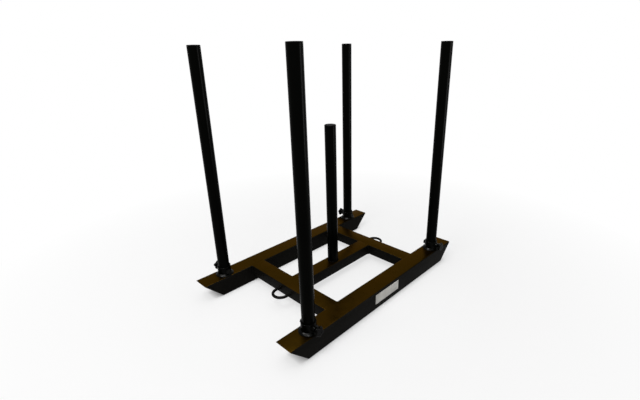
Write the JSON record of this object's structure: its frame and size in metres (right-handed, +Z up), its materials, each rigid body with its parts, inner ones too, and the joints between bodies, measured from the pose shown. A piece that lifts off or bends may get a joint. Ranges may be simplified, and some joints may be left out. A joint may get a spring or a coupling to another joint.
{
  "type": "drag sled",
  "caption": "Weight-training drag sled: two box-section skids, cross frame, central weight post, lift-out push uprights in clamped sockets, and a tow loop at each end.",
  "frame": {"origin": "middle of the footprint, on the floor under the weight post", "axes": "+Z up, +Y along the skids, +X across the sled towards the skid with the label plate"},
  "size_m": [0.666, 1.05, 1.023],
  "materials": {
    "frame_paint": "satin black powder coat with a brown cast where light catches it",
    "upright_paint": "smooth semi-gloss black powder coat",
    "cap_plastic": "fine-textured black moulded plastic",
    "knob_plastic": "black moulded thermoset, slightly glossy on the lobes",
    "bolt_steel": "dark zinc-plated steel",
    "label_metal": "bare satin label plate with no text"
  },
  "bodies": {
    "frame": {"skid_left": "frame_paint", "skid_right": "frame_paint", "centre_bar": "frame_paint", "weight_post": "upright_paint", "weight_post_cap": "cap_plastic", "label_plate": "label_metal", "crossbar_front": "frame_paint", "crossbar_back": "frame_paint", "tow_loop_front": "frame_paint", "tow_loop_back": "frame_paint", "nose_plate_front_left": "frame_paint", "socket_front_left": "frame_paint", "socket_ring_front_left": "frame_paint", "clamp_boss_front_left": "frame_paint", "stop_bolt_front_left": "bolt_steel", "nose_plate_front_right": "frame_paint", "socket_front_right": "frame_paint", "socket_ring_front_right": "frame_paint", "clamp_boss_front_right": "frame_paint", "stop_bolt_front_right": "bolt_steel", "nose_plate_back_left": "frame_paint", "socket_back_left": "frame_paint", "socket_ring_back_left": "frame_paint", "clamp_boss_back_left": "frame_paint", "stop_bolt_back_left": "bolt_steel", "nose_plate_back_right": "frame_paint", "socket_back_right": "frame_paint", "socket_ring_back_right": "frame_paint", "clamp_boss_back_right": "frame_paint", "stop_bolt_back_right": "bolt_steel"},
    "upright_front_left": {"upright_front_left": "upright_paint", "upright_cap_front_left": "cap_plastic"},
    "clamp_screw_front_left": {"clamp_screw_front_left": "bolt_steel"},
    "clamp_knob_front_left": {"clamp_knob_front_left": "knob_plastic"},
    "upright_front_right": {"upright_front_right": "upright_paint", "upright_cap_front_right": "cap_plastic"},
    "clamp_screw_front_right": {"clamp_screw_front_right": "bolt_steel"},
    "clamp_knob_front_right": {"clamp_knob_front_right": "knob_plastic"},
    "upright_back_left": {"upright_back_left": "upright_paint", "upright_cap_back_left": "cap_plastic"},
    "clamp_screw_back_left": {"clamp_screw_back_left": "bolt_steel"},
    "clamp_knob_back_left": {"clamp_knob_back_left": "knob_plastic"},
    "upright_back_right": {"upright_back_right": "upright_paint", "upright_cap_back_right": "cap_plastic"},
    "clamp_screw_back_right": {"clamp_screw_back_right": "bolt_steel"},
    "clamp_knob_back_right": {"clamp_knob_back_right": "knob_plastic"}
  },
  "joints": [
    {"name": "upright_front_left_lift", "type": "slide", "parent": "frame", "child": "upright_front_left", "axis": [0, 0, 1], "range_m": [0, 0.115]},
    {"name": "clamp_front_left_travel", "type": "slide", "parent": "frame", "child": "clamp_screw_front_left", "axis": [-1, 0, 0], "range_m": [0, 0.00526]},
    {"name": "clamp_front_left_turn", "type": "hinge", "parent": "clamp_screw_front_left", "child": "clamp_knob_front_left", "pos_m": [-0.333, -0.407, 0.101], "axis": [-1, 0, 0], "range_deg": [0, 1080]},
    {"name": "upright_front_right_lift", "type": "slide", "parent": "frame", "child": "upright_front_right", "axis": [0, 0, 1], "range_m": [0, 0.115]},
    {"name": "clamp_front_right_travel", "type": "slide", "parent": "frame", "child": "clamp_screw_front_right", "axis": [1, 0, 0], "range_m": [0, 0.00526]},
    {"name": "clamp_front_right_turn", "type": "hinge", "parent": "clamp_screw_front_right", "child": "clamp_knob_front_right", "pos_m": [0.333, -0.407, 0.101], "axis": [1, 0, 0], "range_deg": [0, 1080]},
    {"name": "upright_back_left_lift", "type": "slide", "parent": "frame", "child": "upright_back_left", "axis": [0, 0, 1], "range_m": [0, 0.115]},
    {"name": "clamp_back_left_travel", "type": "slide", "parent": "frame", "child": "clamp_screw_back_left", "axis": [-1, 0, 0], "range_m": [0, 0.00526]},
    {"name": "clamp_back_left_turn", "type": "hinge", "parent": "clamp_screw_back_left", "child": "clamp_knob_back_left", "pos_m": [-0.333, 0.407, 0.101], "axis": [-1, 0, 0], "range_deg": [0, 1080]},
    {"name": "upright_back_right_lift", "type": "slide", "parent": "frame", "child": "upright_back_right", "axis": [0, 0, 1], "range_m": [0, 0.115]},
    {"name": "clamp_back_right_travel", "type": "slide", "parent": "frame", "child": "clamp_screw_back_right", "axis": [1, 0, 0], "range_m": [0, 0.00526]},
    {"name": "clamp_back_right_turn", "type": "hinge", "parent": "clamp_screw_back_right", "child": "clamp_knob_back_right", "pos_m": [0.333, 0.407, 0.101], "axis": [1, 0, 0], "range_deg": [0, 1080]}
  ],
  "couplings": [
    {"joint": "clamp_front_left_travel", "follows": "clamp_front_left_turn", "m_per_rad": 0.00027852},
    {"joint": "clamp_front_right_travel", "follows": "clamp_front_right_turn", "m_per_rad": 0.00027852},
    {"joint": "clamp_back_left_travel", "follows": "clamp_back_left_turn", "m_per_rad": 0.00027852},
    {"joint": "clamp_back_right_travel", "follows": "clamp_back_right_turn", "m_per_rad": 0.00027852}
  ]
}
